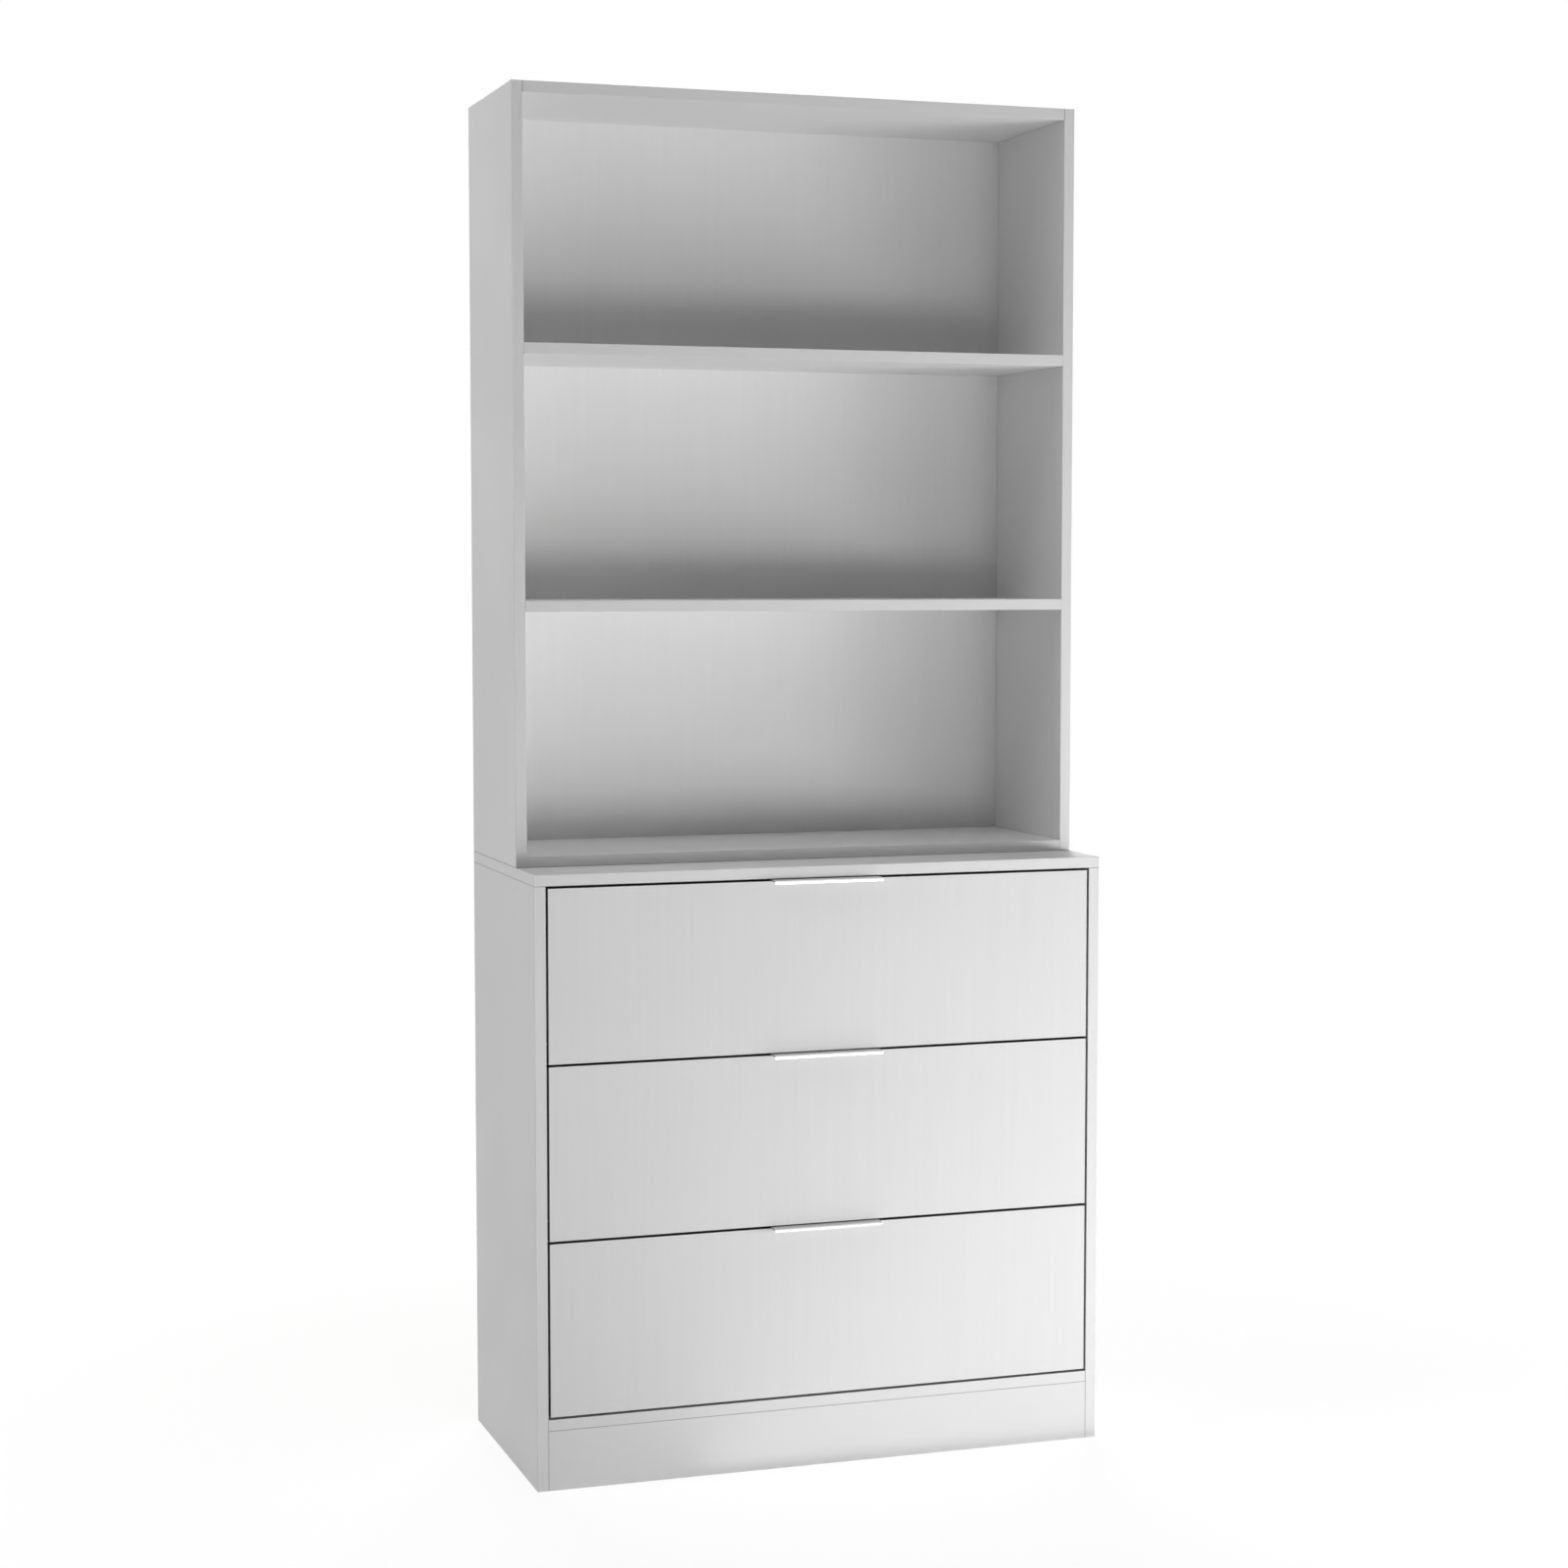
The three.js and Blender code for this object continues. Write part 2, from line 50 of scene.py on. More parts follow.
# Carcass
SIDE_INNER_X = 0.385
REAR_Y = 0.186
BACK_REAR_Y = 0.171
BACK_FRONT_Y = 0.168
CHEST_FRONT_Y = -0.169
HUTCH_FRONT_Y = -0.069
PLINTH_TOP_Z = 0.08
CHEST_TOP_Z = 0.815
HUTCH_TOP_Z = 1.847
BOARD = 15 * MM

# Drawers, counted from the top: the height of each front's lower edge, from which its places are measured
DRAWER_BASES = {1: 0.566, 2: 0.332, 3: 0.098}
BOX_INNER_X = 0.3603
RAIL_LEVEL = 64 * MM

# Edge bands: their thickness and the width of the line where they end; and the dark grey painted on the fronts'
# narrow edges as painted shade, so that the gaps between the drawers read dark
EDGE_BAND = 0.8 * MM
BAND_LINE = 0.06 * MM
GAP_PAINTED_SHADE = 0.10

SIDES = {"left": -1, "right": 1}


# Node helpers


def add_node(tree, kind, inputs=None, **settings):
    """Adds a node, sets its options, and links or sets its inputs."""
    node = tree.nodes.new(kind)
    for name, value in settings.items():
        setattr(node, name, value)
    for key, value in (inputs or {}).items():
        if isinstance(value, bpy.types.NodeSocket):
            tree.links.new(value, node.inputs[key])
        else:
            node.inputs[key].default_value = value
    return node


def math_node(tree, operation, *values):
    """Output of a Math node."""
    return add_node(tree, "ShaderNodeMath", dict(enumerate(values)), operation=operation).outputs[0]


def scaled(tree, vector, factors):
    """A vector multiplied by another."""
    inputs = {0: vector, 1: factors}
    return add_node(tree, "ShaderNodeVectorMath", inputs, operation="MULTIPLY").outputs[0]


def noise(tree, vector, scale, detail=2.0, roughness=0.5):
    """Noise from 0 to 1, with its mean near a half."""
    inputs = {"Vector": vector, "Scale": scale, "Detail": detail, "Roughness": roughness}
    return add_node(tree, "ShaderNodeTexNoise", inputs).outputs["Fac"]


def ramp(tree, value, low, high, to_low=0.0, to_high=1.0):
    """A value mapped smoothly from one range to another."""
    inputs = {"Value": value, "From Min": low, "From Max": high, "To Min": to_low, "To Max": to_high}
    return add_node(tree, "ShaderNodeMapRange", inputs, interpolation_type="SMOOTHSTEP").outputs[0]


def blend(tree, factor, first, second, kind="RGBA"):
    """Mix of two colours, or of two numbers or vectors, whose kind is FLOAT or VECTOR."""
    inputs = {"Factor": factor, "A": first, "B": second}
    return add_node(tree, "ShaderNodeMix", inputs, data_type=kind).outputs["Result"]


def grey(value, warmth=0.0):
    """An opaque near-neutral colour."""
    return (value * (1 + warmth), value, value * (1 - warmth), 1.0)


def new_group(name, inputs, outputs):
    """A shader node group with its sockets, and its input and output nodes."""
    group = bpy.data.node_groups.new(name, "ShaderNodeTree")
    for way, sockets in (("INPUT", inputs), ("OUTPUT", outputs)):
        for label, kind in sockets.items():
            group.interface.new_socket(label, in_out=way, socket_type="NodeSocket" + kind)
    return group, group.nodes.new("NodeGroupInput").outputs, group.nodes.new("NodeGroupOutput").inputs


def use_group(tree, group, **inputs):
    """Outputs of a node group placed in a tree."""
    return add_node(tree, "ShaderNodeGroup", inputs, node_tree=group).outputs


# Effects shared by the finishes


def build_grain_group():
    """Fine streaks along one direction: Stretch holds the streaks per metre along each axis."""
    group, given, result = new_group(
        "directional grain",
        {"Coordinates": "Vector", "Stretch": "Vector"},
        {"Streaks": "Float", "Pores": "Float"},
    )
    stretched = scaled(group, given["Coordinates"], given["Stretch"])
    broad = noise(group, stretched, 0.35, 1.0)
    fine = noise(group, stretched, 1.0, 3.0, 0.65)
    broad_part = math_node(group, "MULTIPLY", broad, 0.45)
    fine_part = math_node(group, "MULTIPLY", fine, 0.55)
    group.links.new(math_node(group, "ADD", broad_part, fine_part), result["Streaks"])
    group.links.new(ramp(group, fine, 0.62, 0.74), result["Pores"])
    return group


def build_pearl_group():
    """Small soft bumps of a pressed or sprayed surface, as a height from 0 to 1."""
    group, given, result = new_group(
        "pearl texture", {"Coordinates": "Vector", "Scale": "Float"}, {"Height": "Float"}
    )
    group.links.new(noise(group, given["Coordinates"], given["Scale"], 1.0), result["Height"])
    return group


def build_handling_group():
    """Where a surface has been touched, wiped or rubbed: broad smears and sparse fine scuffs."""
    group, given, result = new_group(
        "handling marks", {"Coordinates": "Vector"}, {"Smears": "Float", "Scuffs": "Float"}
    )
    smears = ramp(group, noise(group, given["Coordinates"], 5.0, 3.0, 0.6), 0.35, 0.7)
    aslant = {"Vector": given["Coordinates"], "Rotation": (0.4, 0.7, 0.3), "Scale": (9.0, 160.0, 22.0)}
    turned = add_node(group, "ShaderNodeMapping", aslant).outputs[0]
    scratches = ramp(group, noise(group, turned, 1.0, 2.0), 0.71, 0.76)
    group.links.new(smears, result["Smears"])
    group.links.new(math_node(group, "MULTIPLY", scratches, smears), result["Scuffs"])
    return group


def build_plane_line_group():
    """A hairline where a coordinate is a given Distance from a Plane: 1 on the line and 0 off it."""
    group, given, result = new_group(
        "hairline at a plane",
        {"Coordinate": "Float", "Plane": "Float", "Distance": "Float", "Width": "Float"},
        {"Line": "Float"},
    )
    away = math_node(group, "ABSOLUTE", math_node(group, "SUBTRACT", given["Coordinate"], given["Plane"]))
    off = math_node(group, "ABSOLUTE", math_node(group, "SUBTRACT", away, given["Distance"]))
    group.links.new(math_node(group, "LESS_THAN", off, given["Width"]), result["Line"])
    return group


def build_painted_joint_shadow_group():
    """Painted shadow lines in the joints between the carcass boards, a wider one where the hutch stands."""
    group, given, result = new_group("painted joint shadow", {"Coordinates": "Vector"}, {"Mask": "Float"})
    place = add_node(group, "ShaderNodeSeparateXYZ", {0: given["Coordinates"]}).outputs

    def line(axis, plane, distance=0.0, width=0.5 * MM):
        return use_group(
            group, plane_line_group, Coordinate=place[axis], Plane=plane, Distance=distance, Width=width
        )["Line"]

    def where(mask, axis, operation, limit):
        return math_node(group, "MULTIPLY", mask, math_node(group, operation, place[axis], limit))

    between_sides = math_node(group, "LESS_THAN", math_node(group, "ABSOLUTE", place["X"]), SIDE_INNER_X)
    painted_shadow_lines = [
        line("Z", CHEST_TOP_Z - BOARD),
        where(line("Z", CHEST_TOP_Z, 0.0, 0.6 * MM), "Y", "GREATER_THAN", HUTCH_FRONT_Y - 0.5 * MM),
        math_node(group, "MULTIPLY", between_sides, line("Z", PLINTH_TOP_Z)),
        where(line("X", 0.0, SIDE_INNER_X), "Z", "LESS_THAN", PLINTH_TOP_Z + BOARD),
        where(line("X", 0.0, SIDE_INNER_X), "Z", "GREATER_THAN", HUTCH_TOP_Z - BOARD),
    ]
    mask = painted_shadow_lines[0]
    for painted_joint_shadow in painted_shadow_lines[1:]:
        mask = math_node(group, "MAXIMUM", mask, painted_joint_shadow)
    group.links.new(mask, result["Mask"])
    return group


def build_chipboard_group():
    """Raw chipboard: flakes of several browns, with open voids between them that are painted near-black as
    their shade.
    """
    group, given, result = new_group(
        "raw chipboard", {"Coordinates": "Vector"}, {"Color": "Color", "Height": "Float"}
    )
    waves = {"Vector": given["Coordinates"], "Scale": 300.0}
    warp = add_node(group, "ShaderNodeTexNoise", waves).outputs["Color"]
    shifted = {0: given["Coordinates"], 1: scaled(group, warp, (0.002, 0.002, 0.002))}
    bent = add_node(group, "ShaderNodeVectorMath", shifted, operation="ADD").outputs[0]
    cells = {"Vector": scaled(group, bent, (420.0, 420.0, 900.0)), "Scale": 1.0}
    flakes = add_node(group, "ShaderNodeTexVoronoi", cells).outputs["Color"]
    shade = add_node(group, "ShaderNodeSeparateColor", {"Color": flakes}).outputs[0]
    tone = blend(group, shade, (0.30, 0.20, 0.115, 1), (0.62, 0.47, 0.30, 1))
    voids = ramp(group, noise(group, bent, 700.0, 3.0, 0.6), 0.36, 0.30)
    # Painted shade: the voids' dark brown stands for the shade in the hollows; their depth is the bump height
    # below.
    group.links.new(blend(group, voids, tone, (0.10, 0.065, 0.04, 1)), result["Color"])
    group.links.new(math_node(group, "SUBTRACT", shade, voids), result["Height"])
    return group


def build_bare_side_group():
    """Which faces of a board carry no banding: those that look to the rear, and undersides at the floor."""
    group, given, result = new_group(
        "unbanded edges", {"Coordinates": "Vector", "Normal": "Vector"}, {"Mask": "Float"}
    )
    place = add_node(group, "ShaderNodeSeparateXYZ", {0: given["Coordinates"]}).outputs
    facing = add_node(group, "ShaderNodeSeparateXYZ", {0: given["Normal"]}).outputs
    rear = math_node(
        group, "MULTIPLY",
        math_node(group, "GREATER_THAN", facing["Y"], 0.8),
        math_node(group, "GREATER_THAN", place["Y"], REAR_Y - 0.5 * MM),
    )
    under = math_node(
        group, "MULTIPLY",
        math_node(group, "LESS_THAN", facing["Z"], -0.8),
        math_node(group, "LESS_THAN", place["Z"], 0.5 * MM),
    )
    group.links.new(math_node(group, "MAXIMUM", rear, under), result["Mask"])
    return group


grain_group = build_grain_group()
pearl_group = build_pearl_group()
handling_group = build_handling_group()
plane_line_group = build_plane_line_group()
painted_joint_shadow_group = build_painted_joint_shadow_group()
chipboard_group = build_chipboard_group()
bare_side_group = build_bare_side_group()


# Finishes


MELAMINE_SHADE = 0.86
# Streaks per metre along X, Y and Z
UPRIGHT_GRAIN = (420.0, 420.0, 9.0)
CROSSWISE_GRAIN = (9.0, 420.0, 420.0)


def new_material(name, base, roughness, metallic=0.0):
    """A material with its shader, and the coordinates that all its patterns use."""
    material = bpy.data.materials.new(name)
    material.use_nodes = True
    tree = material.node_tree
    tree.nodes.clear()
    inputs = {"Base Color": base, "Roughness": roughness, "Metallic": metallic}
    shader = add_node(tree, "ShaderNodeBsdfPrincipled", inputs)
    tree.links.new(shader.outputs[0], tree.nodes.new("ShaderNodeOutputMaterial").inputs[0])
    return material, tree, shader.inputs, tree.nodes.new("ShaderNodeTexCoord").outputs


def relief(tree, height, depth):
    """Normals of a surface on which a height of 1 stands for a depth in metres."""
    return add_node(tree, "ShaderNodeBump", {"Height": height, "Strength": 1.0, "Distance": depth}).outputs[0]


def cover(tree, shader, mask, over):
    """Where a mask is 1, lays another finish over a material's own: its colour, roughness and normals."""
    for name, kind in {"Base Color": "RGBA", "Roughness": "FLOAT", "Normal": "VECTOR"}.items():
        own = shader[name].links[0].from_socket
        tree.links.new(blend(tree, mask, own, over[name], kind), shader[name])


def raw_chipboard(tree, place):
    """The core of a board where no melamine covers it."""
    core = use_group(tree, chipboard_group, Coordinates=place)
    bumps = relief(tree, core["Height"], 0.15 * MM)
    return {"Base Color": core["Color"], "Roughness": 0.9, "Normal": bumps}


def add_melamine(tree, shader, place, stretch, contrast):
    """Matt white melamine with a faint grain; returns its colour, for what is laid over it."""
    grain = use_group(tree, grain_group, Coordinates=place, Stretch=stretch)
    marks = use_group(tree, handling_group, Coordinates=place)
    pearl = use_group(tree, pearl_group, Coordinates=place, Scale=1300.0)["Height"]
    darker, lighter = grey(MELAMINE_SHADE * (1 - contrast)), grey(MELAMINE_SHADE * (1 + contrast))
    tone = blend(tree, grain["Streaks"], darker, lighter)
    pores = math_node(tree, "MULTIPLY", grain["Pores"], 0.4)
    tone = blend(tree, pores, tone, grey(MELAMINE_SHADE * 0.94))
    smears = math_node(tree, "MULTIPLY", marks["Smears"], 0.25)
    tone = blend(tree, smears, tone, grey(MELAMINE_SHADE * 0.965, 0.004))
    rough = ramp(tree, marks["Smears"], 0.0, 1.0, 0.52, 0.44)
    rough = math_node(tree, "SUBTRACT", rough, math_node(tree, "MULTIPLY", marks["Scuffs"], 0.08))
    tree.links.new(rough, shader["Roughness"])
    height = math_node(tree, "ADD", pearl, grain["Streaks"])
    tree.links.new(relief(tree, height, 0.012 * MM), shader["Normal"])
    return tone


def carcass_melamine(name, stretch):
    """Melamine of the carcass, with the joints of its edge bands, painted shadow lines in the board joints, and
    bare rear edges.
    """
    material, tree, shader, coordinates = new_material(name, grey(MELAMINE_SHADE), 0.5)
    place = coordinates["Object"]
    tone = add_melamine(tree, shader, place, stretch, 0.028)
    depth = add_node(tree, "ShaderNodeSeparateXYZ", {0: place}).outputs["Y"]
    lines = []
    for plane in (CHEST_FRONT_Y, HUTCH_FRONT_Y):
        place_of_line = {"Coordinate": depth, "Plane": plane, "Distance": EDGE_BAND, "Width": BAND_LINE}
        lines.append(use_group(tree, plane_line_group, **place_of_line)["Line"])
    band_line_and_painted_gap_shade = math_node(tree, "MAXIMUM", *lines)
    tone = blend(tree, math_node(tree, "MULTIPLY", band_line_and_painted_gap_shade, 0.5), tone, grey(MELAMINE_SHADE * 0.7))
    # Painted shade: dark grey lines where the boards meet and where the hutch stands on the chest.
    painted_joint_shadow = use_group(tree, painted_joint_shadow_group, Coordinates=place)["Mask"]
    tone = blend(tree, math_node(tree, "MULTIPLY", painted_joint_shadow, 0.6), tone, grey(0.28))
    tree.links.new(tone, shader["Base Color"])
    bare = use_group(tree, bare_side_group, Coordinates=place, Normal=coordinates["Normal"])["Mask"]
    cover(tree, shader, bare, raw_chipboard(tree, place))
    return material


def front_melamine():
    """Melamine of the drawer fronts, whose narrow edges are painted dark grey as painted shade, so that the
    gaps between them read dark.
    """
    material, tree, shader, coordinates = new_material("melamine_drawer_front", grey(MELAMINE_SHADE), 0.5)
    place = coordinates["Object"]
    tone = add_melamine(tree, shader, place, UPRIGHT_GRAIN, 0.045)
    across = add_node(tree, "ShaderNodeSeparateXYZ", {0: coordinates["Normal"]}).outputs["Y"]
    # Painted shade: every narrow edge of a front gets a near-black grey in place of white, to darken the gaps.
    edge = math_node(tree, "LESS_THAN", math_node(tree, "ABSOLUTE", across), 0.95)
    fleck = noise(tree, place, 700.0, 1.0)
    band_line_and_painted_gap_shade = blend(tree, fleck, grey(GAP_PAINTED_SHADE * 0.9), grey(GAP_PAINTED_SHADE * 1.1))
    tree.links.new(blend(tree, edge, tone, band_line_and_painted_gap_shade), shader["Base Color"])
    return material


def drawer_foil():
    """Thin board wrapped in plain white foil, for the drawer boxes."""
    material, tree, shader, coordinates = new_material("drawer_foil", grey(0.84), 0.42)
    place = coordinates["Object"]
    marks = use_group(tree, handling_group, Coordinates=place)
    grain = use_group(tree, grain_group, Coordinates=place, Stretch=(500.0, 14.0, 500.0))
    pearl = use_group(tree, pearl_group, Coordinates=place, Scale=1400.0)["Height"]
    tone = blend(tree, grain["Streaks"], grey(0.82), grey(0.855))
    tone = blend(tree, math_node(tree, "MULTIPLY", marks["Smears"], 0.3), tone, grey(0.80, 0.006))
    tree.links.new(tone, shader["Base Color"])
    tree.links.new(ramp(tree, marks["Smears"], 0.0, 1.0, 0.45, 0.36), shader["Roughness"])
    height = math_node(tree, "ADD", pearl, marks["Scuffs"])
    tree.links.new(relief(tree, height, 0.012 * MM), shader["Normal"])
    return material


def white_hardboard():
    """Thin hardboard: lacquered white on the face that is seen in use, raw brown fibre on the other."""
    material, tree, shader, coordinates = new_material("white_hardboard", grey(0.85), 0.5)
    place = coordinates["Object"]
    marks = use_group(tree, handling_group, Coordinates=place)
    grain = use_group(tree, grain_group, Coordinates=place, Stretch=(330.0, 330.0, 12.0))
    pearl = use_group(tree, pearl_group, Coordinates=place, Scale=600.0)["Height"]
    white = blend(tree, grain["Streaks"], grey(0.82), grey(0.88))
    white = blend(tree, math_node(tree, "MULTIPLY", marks["Smears"], 0.25), white, grey(0.82, 0.004))
    tree.links.new(white, shader["Base Color"])
    tree.links.new(ramp(tree, marks["Smears"], 0.0, 1.0, 0.52, 0.44), shader["Roughness"])
    tree.links.new(relief(tree, pearl, 0.02 * MM), shader["Normal"])
    facing = add_node(tree, "ShaderNodeSeparateXYZ", {0: coordinates["Normal"]}).outputs
    to_rear = math_node(tree, "GREATER_THAN", facing["Y"], 0.5)
    hidden = math_node(tree, "MAXIMUM", to_rear, math_node(tree, "LESS_THAN", facing["Z"], -0.5))
    cover(tree, shader, hidden, raw_fibre(tree, place, marks["Smears"]))
    return material


def raw_fibre(tree, place, smears):
    """The unlacquered face of hardboard, with the print of the press's wire screen."""
    fibres = noise(tree, scaled(tree, place, (900.0, 900.0, 500.0)), 1.0, 4.0, 0.7)
    specks = ramp(tree, noise(tree, place, 420.0, 2.0), 0.62, 0.72)
    brown = blend(tree, fibres, (0.20, 0.125, 0.07, 1), (0.40, 0.275, 0.165, 1))
    brown = blend(tree, math_node(tree, "MULTIPLY", specks, 0.5), brown, (0.12, 0.075, 0.045, 1))
    brown = blend(tree, math_node(tree, "MULTIPLY", smears, 0.2), brown, (0.44, 0.32, 0.21, 1))
    axes = add_node(tree, "ShaderNodeSeparateXYZ", {0: scaled(tree, place, (3600.0, 3600.0, 3600.0))}).outputs
    warp, weft = math_node(tree, "SINE", axes["X"]), math_node(tree, "SINE", axes["Z"])
    wires = math_node(tree, "MULTIPLY", warp, weft)
    height = math_node(tree, "ADD", math_node(tree, "MULTIPLY", wires, 0.3), fibres)
    return {"Base Color": brown, "Roughness": 0.85, "Normal": relief(tree, height, 0.08 * MM)}


def satin_aluminium():
    """Satin anodised aluminium, brushed along X on the lip's face and rougher elsewhere, with painted shade:
    the flange's top a little darker and the faces underneath dark.
    """
    material, tree, shader, coordinates = new_material("satin_aluminium", grey(0.8), 0.36, 1.0)
    place = coordinates["Object"]
    grain = use_group(tree, grain_group, Coordinates=place, Stretch=(25.0, 6000.0, 6000.0))
    marks = use_group(tree, handling_group, Coordinates=place)
    brushed = blend(tree, grain["Streaks"], grey(0.60), grey(0.76))
    # Painted shade: the faces underneath and the flange's top get darker copies of the tone, chosen by which
    # way they face.
    painted_underside_shade = blend(tree, grain["Streaks"], grey(0.24), grey(0.34))
    normal = add_node(tree, "ShaderNodeSeparateXYZ", {0: coordinates["Normal"]}).outputs
    top = ramp(tree, normal["Z"], 0.3, 0.6)
    face = ramp(tree, normal["Y"], -0.35, -0.1, 1.0, 0.0)
    tone = blend(tree, top, painted_underside_shade, blend(tree, grain["Streaks"], grey(0.50), grey(0.62)))
    tone = blend(tree, face, tone, brushed)
    tone = blend(tree, math_node(tree, "MULTIPLY", marks["Smears"], 0.15), tone, grey(0.55, 0.01))
    tree.links.new(tone, shader["Base Color"])
    rough = ramp(tree, grain["Streaks"], 0.3, 0.7, 0.15, 0.22)
    rough = math_node(tree, "ADD", rough, math_node(tree, "MULTIPLY", marks["Smears"], 0.06))
    tree.links.new(blend(tree, face, 0.58, rough, "FLOAT"), shader["Roughness"])
    tree.links.new(relief(tree, grain["Streaks"], 0.002 * MM), shader["Normal"])
    return material


def zinc_steel():
    """Bright zinc plate on rolled steel: cool, faintly mottled, with lines along the rail."""
    material, tree, shader, coordinates = new_material("zinc_steel", grey(0.66, -0.012), 0.34, 1.0)
    place = coordinates["Object"]
    grain = use_group(tree, grain_group, Coordinates=place, Stretch=(3000.0, 12.0, 3000.0))
    marks = use_group(tree, handling_group, Coordinates=place)
    mottle = noise(tree, place, 90.0, 4.0, 0.6)
    tone = blend(tree, mottle, grey(0.56, -0.02), grey(0.76, -0.006))
    tone = blend(tree, math_node(tree, "MULTIPLY", marks["Smears"], 0.25), tone, grey(0.52, 0.03))
    tone = blend(tree, math_node(tree, "MULTIPLY", grain["Streaks"], 0.3), tone, grey(0.8))
    tree.links.new(tone, shader["Base Color"])
    tree.links.new(ramp(tree, mottle, 0.3, 0.7, 0.27, 0.42), shader["Roughness"])
    height = math_node(tree, "ADD", grain["Streaks"], marks["Scuffs"])
    tree.links.new(relief(tree, height, 0.008 * MM), shader["Normal"])
    return material


def cage_steel():
    """Thin strip with polished balls, dulled by a film of grease."""
    material, tree, shader, coordinates = new_material("cage_steel", grey(0.58, -0.01), 0.3, 1.0)
    place = coordinates["Object"]
    film = ramp(tree, noise(tree, place, 160.0, 3.0, 0.6), 0.35, 0.65)
    tree.links.new(blend(tree, film, grey(0.68, -0.01), grey(0.44, 0.03)), shader["Base Color"])
    tree.links.new(ramp(tree, film, 0.0, 1.0, 0.18, 0.42), shader["Roughness"])
    tree.links.new(relief(tree, film, 0.02 * MM), shader["Normal"])
    return material


def black_plastic():
    """Soft moulded plastic with a fine spark-eroded texture."""
    material, tree, shader, coordinates = new_material("black_plastic", grey(0.03), 0.55)
    place = coordinates["Object"]
    pearl = use_group(tree, pearl_group, Coordinates=place, Scale=2200.0)["Height"]
    marks = use_group(tree, handling_group, Coordinates=place)
    tree.links.new(blend(tree, marks["Smears"], grey(0.025), grey(0.05)), shader["Base Color"])
    tree.links.new(ramp(tree, marks["Smears"], 0.0, 1.0, 0.5, 0.68), shader["Roughness"])
    tree.links.new(relief(tree, pearl, 0.03 * MM), shader["Normal"])
    return material


melamine_upright = carcass_melamine("melamine_upright_grain", UPRIGHT_GRAIN)
melamine_crosswise = carcass_melamine("melamine_crosswise_grain", CROSSWISE_GRAIN)
melamine_front = front_melamine()
SLOT_MATERIALS = {
    "white_melamine": melamine_upright,
    "drawer_melamine": drawer_foil(),
    "white_hardboard": white_hardboard(),
    "satin_aluminium": satin_aluminium(),
    "zinc_steel": zinc_steel(),
    "cage_steel": cage_steel(),
    "black_plastic": black_plastic(),
}
CROSSWISE = (
    "chest_top", "chest_bottom", "chest_plinth_front", "chest_plinth_rear",
    "hutch_top", "hutch_bottom", "hutch_shelf_lower", "hutch_shelf_upper",
)
DRAWER_FRONTS = tuple(f"drawer_{number}_front" for number in DRAWER_BASES)
node_slots = {row["node"]: row["material_slot"] for row in frame["record"]["subparts"]}
for node_name, node in nodes.items():
    finish = SLOT_MATERIALS[node_slots[node_name]]
    if node_name in CROSSWISE:
        finish = melamine_crosswise
    elif node_name in DRAWER_FRONTS:
        finish = melamine_front
    node.data.materials.clear()
    node.data.materials.append(finish)


# Edges of the model's own pieces


SPLIT_CORNER_GAP = 0.005 * MM
FLAT_ANGLE = math.radians(0.5)
ARRIS_ANGLE = math.radians(40)
BEND_ANGLE = math.radians(33)
ANY_ANGLE = math.radians(180)


def build_shading_nodes(name, smooth_angle):
    """Geometry nodes that join split corners and shade smoothly across every edge flatter than an angle."""
    group = bpy.data.node_groups.new(name, "GeometryNodeTree")
    group.interface.new_socket("Geometry", in_out="INPUT", socket_type="NodeSocketGeometry")
    group.interface.new_socket("Geometry", in_out="OUTPUT", socket_type="NodeSocketGeometry")
    given = group.nodes.new("NodeGroupInput").outputs[0]
    own_normals = {"Geometry": given, "Name": "custom_normal"}
    bare = add_node(group, "GeometryNodeRemoveAttribute", own_normals).outputs[0]
    split_corners = {"Geometry": bare, "Distance": SPLIT_CORNER_GAP}
    joined = add_node(group, "GeometryNodeMergeByDistance", split_corners).outputs[0]
    all_faces = {"Geometry": joined, "Shade Smooth": True}
    faces = add_node(group, "GeometryNodeSetShadeSmooth", all_faces, domain="FACE").outputs[0]
    angle = group.nodes.new("GeometryNodeInputMeshEdgeAngle").outputs["Unsigned Angle"]
    limit = {0: angle, 1: smooth_angle}
    flat = add_node(group, "FunctionNodeCompare", limit, data_type="FLOAT", operation="LESS_THAN").outputs[0]
    flat_edges = {"Geometry": faces, "Shade Smooth": flat}
    edges = add_node(group, "GeometryNodeSetShadeSmooth", flat_edges, domain="EDGE").outputs[0]
    group.links.new(edges, group.nodes.new("NodeGroupOutput").inputs[0])
    return group


board_shading = build_shading_nodes("joined board", ANY_ANGLE)
sheet_shading = build_shading_nodes("smooth bends", BEND_ANGLE)
BOARD_SLOTS = ("white_melamine", "drawer_melamine")
EDGE_RADIUS = {"white_melamine": 0.45 * MM, "drawer_melamine": 0.8 * MM}
FRONT_EDGE_RADIUS = 0.3 * MM


def shade_with(node, group):
    """Gives a node of the model one of the two ways of shading."""
    modifier = node.modifiers.new("shading", "NODES")
    modifier.node_group = group


def level_faces(node, keep_sharp=True):
    """Shades broad faces flat, so that only the bends and arrises between them look round."""
    normals = node.modifiers.new("flat faces", "WEIGHTED_NORMAL")
    normals.keep_sharp = keep_sharp
    normals.weight = 100


def soften_board(node, radius):
    """Rounds the arrises of a board as its edge banding is rounded."""
    shade_with(node, board_shading)
    flatten = node.modifiers.new("flatten", "DECIMATE")
    flatten.decimate_type = "DISSOLVE"
    flatten.angle_limit = FLAT_ANGLE
    bevel = node.modifiers.new("arris", "BEVEL")
    bevel.width = radius
    bevel.segments = 2
    bevel.limit_method = "ANGLE"
    bevel.angle_limit = ARRIS_ANGLE
    level_faces(node, keep_sharp=False)


